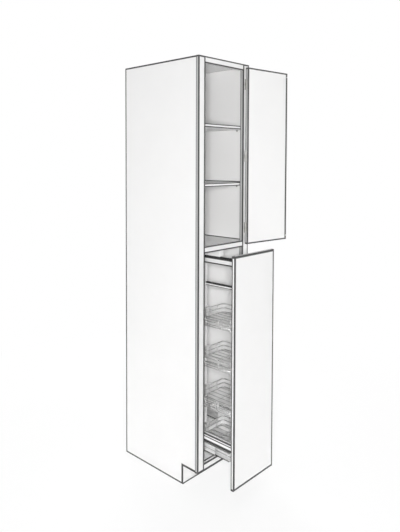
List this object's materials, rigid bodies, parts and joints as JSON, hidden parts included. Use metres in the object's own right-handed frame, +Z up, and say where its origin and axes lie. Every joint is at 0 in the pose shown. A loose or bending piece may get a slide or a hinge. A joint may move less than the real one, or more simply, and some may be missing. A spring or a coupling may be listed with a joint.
{
  "type": "tall pantry cabinet",
  "caption": "Tall face-framed pantry cabinet with a slab door over shelves and a pull-out front with wire baskets below.",
  "frame": {"origin": "on the floor at the wall, midway between the sides: the middle of the back's lower edge", "axes": "+Z up, +Y towards the wall, +X to the right of someone facing the doors"},
  "size_m": [0.7889, 0.8267, 2.4384],
  "materials": {
    "white_paint": "satin white paint on board",
    "white_laminate": "white laminate",
    "interior": "light grey laminate",
    "raw_wood": "bare sanded wood",
    "zinc": "zinc plate",
    "nickel": "satin nickel plate",
    "white_metal": "white powder coat",
    "graphite": "dark powder coat",
    "dark_plastic": "moulded, matte",
    "chrome_wire": "satin plate",
    "clear_rubber": "soft translucent dot"
  },
  "bodies": {
    "carcass": {"left_side_panel": "white_paint", "right_side_panel": "white_paint", "top_panel": "white_laminate", "middle_deck": "white_laminate", "bottom_panel": "white_laminate", "back_panel": "interior", "top_nailer": "raw_wood", "middle_nailer": "raw_wood", "bottom_nailer": "raw_wood", "toe_kick_board": "white_paint", "left_stile": "white_paint", "right_stile": "white_paint", "top_rail": "white_paint", "middle_rail": "white_paint", "bottom_rail": "white_paint", "upper_shelf": "white_laminate", "lower_shelf": "white_laminate", "shelf_pins": "nickel", "left_slide_spacer": "interior", "right_slide_spacer": "interior", "left_slide_outer": "zinc", "right_slide_outer": "zinc", "top_track_spacer": "interior", "top_guide_track": "graphite", "hinge_frame_leaves": "nickel", "hinge_pins": "nickel"},
    "upper_door": {"upper_door": "white_paint", "hinge_door_leaves": "nickel", "upper_door_bumpers": "clear_rubber"},
    "slide_middles": {"left_slide_middle": "zinc", "right_slide_middle": "zinc"},
    "pull_out": {"pull_out_front": "white_paint", "pull_out_bumpers": "clear_rubber", "front_brackets": "white_metal", "front_post": "white_metal", "rear_post": "white_metal", "tie_bar": "graphite", "guide_rail": "white_metal", "guide_strip": "dark_plastic", "carriage_left_side": "white_metal", "carriage_right_side": "white_metal", "carriage_front_bar": "white_metal", "carriage_rear_bar": "white_metal", "left_slide_inner": "zinc", "right_slide_inner": "zinc", "basket_1": "chrome_wire", "basket_2": "chrome_wire", "basket_3": "chrome_wire", "basket_4": "chrome_wire", "basket_clips": "zinc"}
  },
  "joints": [
    {"name": "upper_door_hinge", "type": "hinge", "parent": "carcass", "child": "upper_door", "pos_m": [0.18865, -0.62113, 1.89], "axis": [0, 0, 1], "range_deg": [-174, 4]},
    {"name": "pull_out_slide", "type": "slide", "parent": "carcass", "child": "pull_out", "axis": [0, -1, 0], "range_m": [-0.196, 0.154]},
    {"name": "slide_middle_travel", "type": "slide", "parent": "carcass", "child": "slide_middles", "axis": [0, -1, 0], "range_m": [-0.098, 0.077]}
  ],
  "couplings": [
    {"joint": "slide_middle_travel", "follows": "pull_out_slide", "ratio": 0.5}
  ]
}
